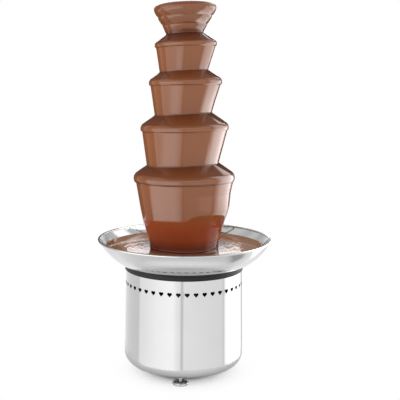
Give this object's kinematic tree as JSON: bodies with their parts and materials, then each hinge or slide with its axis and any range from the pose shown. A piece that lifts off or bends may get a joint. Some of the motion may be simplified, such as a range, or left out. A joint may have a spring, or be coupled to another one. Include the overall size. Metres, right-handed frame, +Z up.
{
  "type": "chocolate fountain",
  "caption": "Buffet chocolate fountain: a tower of stepped canopies with falling sheets of chocolate over a steel bowl, on a round base with heart-shaped vents and levelling feet.",
  "frame": {"origin": "on the table, under the middle of the bowl", "axes": "+Z up along the tower, -Y to the front, controls and inlet at +Y"},
  "size_m": [0.3999, 0.4, 0.8405],
  "materials": {
    "polished_steel": "mirror-polished stainless steel",
    "brushed_steel": "satin stainless steel",
    "fasteners": "bright zinc or nickel plate",
    "foot_chrome": "bright chrome plate",
    "rubber": "black silicone rubber",
    "heater_alloy": "cast, unpolished",
    "motor_paint": "grey enamel",
    "bush_brass": "turned",
    "fan_plastic": "moulded black",
    "panel_plastic": "fine-grained black moulding",
    "rocker_plastic": "gloss black",
    "lamp_lens": "clear orange lens",
    "terminal_plastic": "ivory moulding",
    "chocolate": "glossy molten milk chocolate"
  },
  "bodies": {
    "base": {"housing": "polished_steel", "bottom_cover": "brushed_steel", "cover_screws": "fasteners", "tie_rods": "fasteners", "tie_rod_nuts": "fasteners", "rim_gasket": "rubber", "bowl": "polished_steel", "locating_pins": "brushed_steel", "heater_plate": "heater_alloy", "standoffs": "brushed_steel", "motor_bracket": "brushed_steel", "bracket_screws": "fasteners", "gearbox": "heater_alloy", "gearbox_screws": "fasteners", "motor_can": "motor_paint", "shaft_bush": "bush_brass", "shaft_seal": "rubber", "tower_foot": "brushed_steel", "tower_tube": "brushed_steel", "tier_pins": "brushed_steel", "crown": "brushed_steel", "canopy_2": "brushed_steel", "canopy_3": "brushed_steel", "canopy_4": "brushed_steel", "canopy_5": "brushed_steel", "chocolate_crown": "chocolate", "chocolate_2": "chocolate", "chocolate_3": "chocolate", "chocolate_4": "chocolate", "chocolate_5": "chocolate", "chocolate_pool": "chocolate", "control_panel": "panel_plastic", "panel_screws": "fasteners", "thermostat": "panel_plastic", "pilot_lamp": "lamp_lens", "motor_switch": "panel_plastic", "heat_switch": "panel_plastic", "power_inlet": "panel_plastic", "inlet_pins": "fasteners", "inlet_screws": "fasteners", "terminal_block": "terminal_plastic", "weld_nuts": "fasteners", "jam_nuts": "fasteners"},
    "auger": {"drive_shaft": "brushed_steel", "auger_shaft": "brushed_steel", "auger_flight": "brushed_steel"},
    "fan": {"cooling_fan": "fan_plastic"},
    "knob": {"thermostat_spindle": "brushed_steel", "thermostat_knob": "panel_plastic"},
    "motor_rocker": {"motor_rocker": "rocker_plastic"},
    "heat_rocker": {"heat_rocker": "rocker_plastic"},
    "pad_1": {"foot_pad_1": "foot_chrome"},
    "stud_1": {"foot_stud_1": "fasteners"},
    "pad_2": {"foot_pad_2": "foot_chrome"},
    "stud_2": {"foot_stud_2": "fasteners"},
    "pad_3": {"foot_pad_3": "foot_chrome"},
    "stud_3": {"foot_stud_3": "fasteners"}
  },
  "joints": [
    {"name": "auger_spin", "type": "hinge", "parent": "base", "child": "auger", "pos_m": [0, 0, 0.23], "axis": [0, 0, 1], "continuous": true},
    {"name": "fan_spin", "type": "hinge", "parent": "base", "child": "fan", "pos_m": [0, 0, 0.0745], "axis": [0, 0, 1], "continuous": true},
    {"name": "knob_turn", "type": "hinge", "parent": "base", "child": "knob", "pos_m": [0, 0.13821, 0.125], "axis": [0, 1, 0], "range_deg": [-270, 0]},
    {"name": "motor_rocker_tip", "type": "hinge", "parent": "base", "child": "motor_rocker", "pos_m": [-0.04509, 0.13096, 0.133], "axis": [0.9455, 0.3256, 0], "range_deg": [-18, 0]},
    {"name": "heat_rocker_tip", "type": "hinge", "parent": "base", "child": "heat_rocker", "pos_m": [0.04509, 0.13096, 0.133], "axis": [0.9455, -0.3256, 0], "range_deg": [-18, 0]},
    {"name": "foot_1_height", "type": "slide", "parent": "base", "child": "pad_1", "axis": [0, 0, -1], "range_m": [0, 0.008]},
    {"name": "foot_1_screw", "type": "hinge", "parent": "pad_1", "child": "stud_1", "pos_m": [-0.00539, -0.10286, 0.014], "axis": [0, 0, -1], "range_deg": [0, 2880.01]},
    {"name": "foot_2_height", "type": "slide", "parent": "base", "child": "pad_2", "axis": [0, 0, -1], "range_m": [0, 0.008]},
    {"name": "foot_2_screw", "type": "hinge", "parent": "pad_2", "child": "stud_2", "pos_m": [0.09177, 0.04676, 0.014], "axis": [0, 0, -1], "range_deg": [0, 2880.01]},
    {"name": "foot_3_height", "type": "slide", "parent": "base", "child": "pad_3", "axis": [0, 0, -1], "range_m": [0, 0.008]},
    {"name": "foot_3_screw", "type": "hinge", "parent": "pad_3", "child": "stud_3", "pos_m": [-0.08638, 0.0561, 0.014], "axis": [0, 0, -1], "range_deg": [0, 2880.01]}
  ],
  "couplings": [
    {"joint": "auger_spin", "follows": "fan_spin", "ratio": 0.05},
    {"joint": "foot_1_screw", "follows": "foot_1_height", "rad_per_m": 6283.2},
    {"joint": "foot_2_screw", "follows": "foot_2_height", "rad_per_m": 6283.2},
    {"joint": "foot_3_screw", "follows": "foot_3_height", "rad_per_m": 6283.2}
  ]
}
